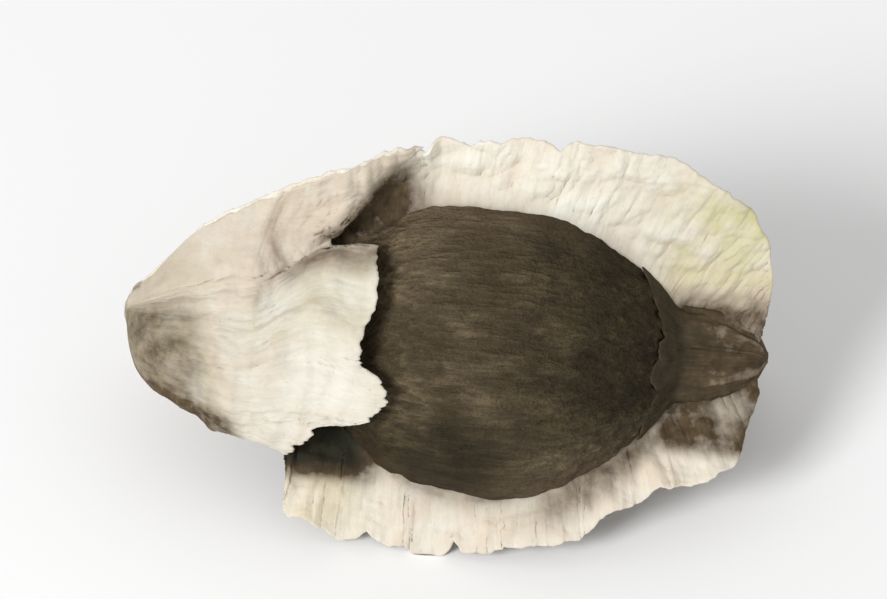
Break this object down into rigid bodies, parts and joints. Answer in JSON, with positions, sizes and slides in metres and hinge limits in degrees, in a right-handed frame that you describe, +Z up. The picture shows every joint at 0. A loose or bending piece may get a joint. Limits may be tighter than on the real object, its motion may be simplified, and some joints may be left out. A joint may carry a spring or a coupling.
{
  "type": "moringa seed",
  "caption": "Dark rounded three-angled seed framed by pale papery wings that carry it on the wind, with a torn flap folded over its end.",
  "frame": {"origin": "on the surface that the seed rests on, at the flat spot under the middle of the seed coat", "axes": "+X along the seed's long axis from the hooded end to the short end, -Y towards the side with the torn flap, +Z up through the upright wing"},
  "size_m": [0.0215, 0.0128, 0.0126],
  "materials": {
    "coat": "matt, fine lengthwise fibres, dark grey brown",
    "wing": "matt, papery, cream"
  },
  "bodies": {
    "root": {"seed_coat": "coat", "wings": "wing"}
  },
  "joints": []
}
